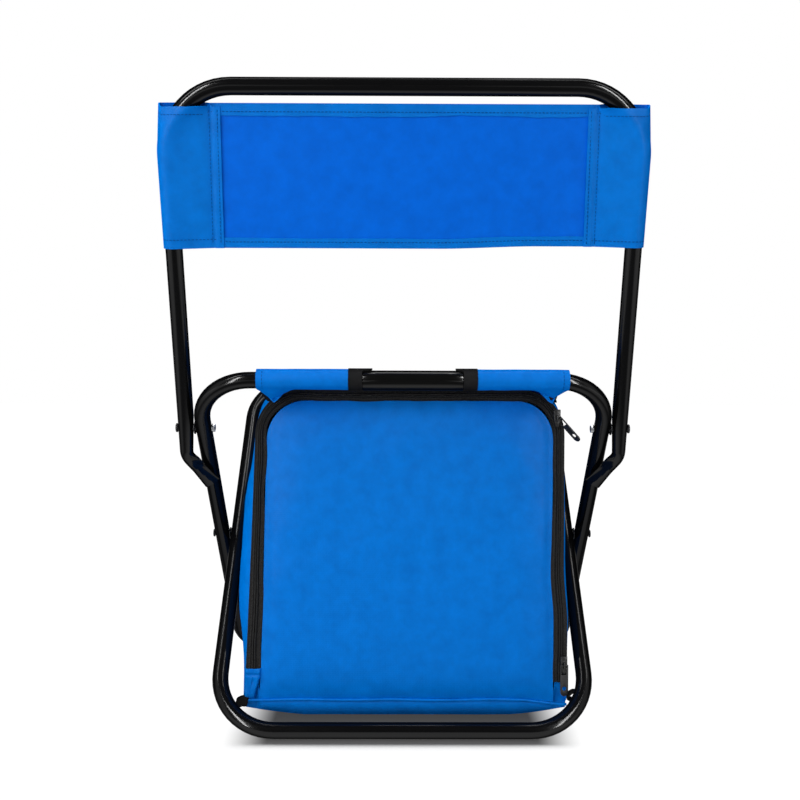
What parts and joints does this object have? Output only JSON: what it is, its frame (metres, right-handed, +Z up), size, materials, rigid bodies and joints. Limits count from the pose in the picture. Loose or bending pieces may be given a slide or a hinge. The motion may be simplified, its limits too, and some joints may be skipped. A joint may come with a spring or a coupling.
{
  "type": "folding cooler stool",
  "caption": "Folding stool with crossed tube frames, a fabric seat with a hand hold, a swinging fabric-band backrest and a zipped insulated cooler bag hung under the seat.",
  "frame": {"origin": "on the floor under the middle of the whole stool, as it stands open", "axes": "+Z up, +Y the way the sitter faces, +X to the right as seen from behind"},
  "size_m": [0.425, 0.3402, 0.5772],
  "materials": {
    "black_paint": "gloss black powder coat on steel tube",
    "black_plastic": "smooth glossy black plastic sleeve",
    "black_webbing": "black woven binding and zip tape",
    "zinc_steel": "bright zinc plate",
    "blue_cloth": "blue woven polyester",
    "coated_cloth": "coated side of the blue polyester",
    "white_foam": "white closed-cell foam sheet",
    "silver_foil": "silver foil lining",
    "black_zinc": "dark plated zinc and steel"
  },
  "bodies": {
    "cooler_seat": {"cross_rivet_left": "zinc_steel", "cross_rivet_right": "zinc_steel", "cross_washer_left": "zinc_steel", "cross_washer_right": "zinc_steel", "seat_cloth": "blue_cloth", "hand_hold_binding": "black_webbing", "seat_edge_left": "black_webbing", "seat_edge_right": "black_webbing", "cooler_shell": "blue_cloth", "cooler_foam": "white_foam", "cooler_lining": "silver_foil"},
    "outer_frame": {"outer_frame_tube": "black_paint", "hand_grip": "black_plastic", "rear_sleeve_left": "blue_cloth", "rear_sleeve_right": "blue_cloth", "grip_binding_left": "black_webbing", "grip_binding_right": "black_webbing", "backrest_bolt_left": "black_zinc", "backrest_bolt_right": "black_zinc", "backrest_nut_left": "zinc_steel", "backrest_nut_right": "zinc_steel", "backrest_washer_left": "zinc_steel", "backrest_washer_right": "zinc_steel"},
    "inner_frame": {"inner_frame_tube": "black_paint", "front_sleeve": "blue_cloth"},
    "cooler_rear": {"bag_zip_tape": "black_webbing", "zip_end_cover": "blue_cloth", "door_hinge_seam": "blue_cloth", "corner_tab_left": "black_webbing", "corner_tab_right": "black_webbing"},
    "cooler_door": {"door_cloth": "blue_cloth", "door_foam": "white_foam", "door_lining": "silver_foil", "door_zip_tape": "black_webbing", "door_zip_end_cover": "blue_cloth"},
    "lower_slider": {"lower_slider": "black_zinc"},
    "lower_pull": {"lower_pull": "black_zinc"},
    "upper_slider": {"upper_slider": "black_zinc"},
    "upper_pull": {"upper_pull": "black_zinc"},
    "backrest": {"backrest_tube": "black_paint", "backrest_band": "coated_cloth"}
  },
  "joints": [
    {"name": "outer_frame_fold", "type": "hinge", "parent": "cooler_seat", "child": "outer_frame", "pos_m": [0, 0.02473, 0.16536], "axis": [-1, 0, 0], "range_deg": [0, 36], "deforming": ["cooler_shell", "cooler_foam", "cooler_lining", "seat_cloth", "hand_hold_binding", "seat_edge_left", "seat_edge_right"]},
    {"name": "inner_frame_fold", "type": "hinge", "parent": "cooler_seat", "child": "inner_frame", "pos_m": [0, 0.02473, 0.16536], "axis": [1, 0, 0], "range_deg": [0, 36]},
    {"name": "cooler_collapse", "type": "slide", "parent": "cooler_seat", "child": "cooler_rear", "axis": [0, 1, 0], "range_m": [0, 0.084]},
    {"name": "cooler_door_hinge", "type": "hinge", "parent": "cooler_rear", "child": "cooler_door", "pos_m": [0.0085, -0.07707, 0.028], "axis": [1, 0, 0], "range_deg": [0, 90]},
    {"name": "lower_slider_run", "type": "slide", "parent": "cooler_rear", "child": "lower_slider", "axis": [0, 0, 1], "range_m": [0, 0.1]},
    {"name": "lower_pull_flip", "type": "hinge", "parent": "lower_slider", "child": "lower_pull", "pos_m": [0.1531, -0.08307, 0.0585], "axis": [-1, 0, 0], "range_deg": [0, 150]},
    {"name": "upper_slider_run", "type": "slide", "parent": "cooler_rear", "child": "upper_slider", "axis": [0, 0, -1], "range_m": [0, 0.1]},
    {"name": "upper_pull_flip", "type": "hinge", "parent": "upper_slider", "child": "upper_pull", "pos_m": [0.1531, -0.08307, 0.289], "axis": [-0.7431, 0, -0.6691], "range_deg": [0, 150]},
    {"name": "backrest_swing", "type": "hinge", "parent": "outer_frame", "child": "backrest", "pos_m": [0, -0.07262, 0.27887], "axis": [-1, 0, 0], "range_deg": [0, 93]}
  ],
  "couplings": [
    {"joint": "inner_frame_fold", "follows": "outer_frame_fold", "ratio": 1},
    {"joint": "cooler_collapse", "follows": "outer_frame_fold", "m_per_rad": 0.1336}
  ]
}
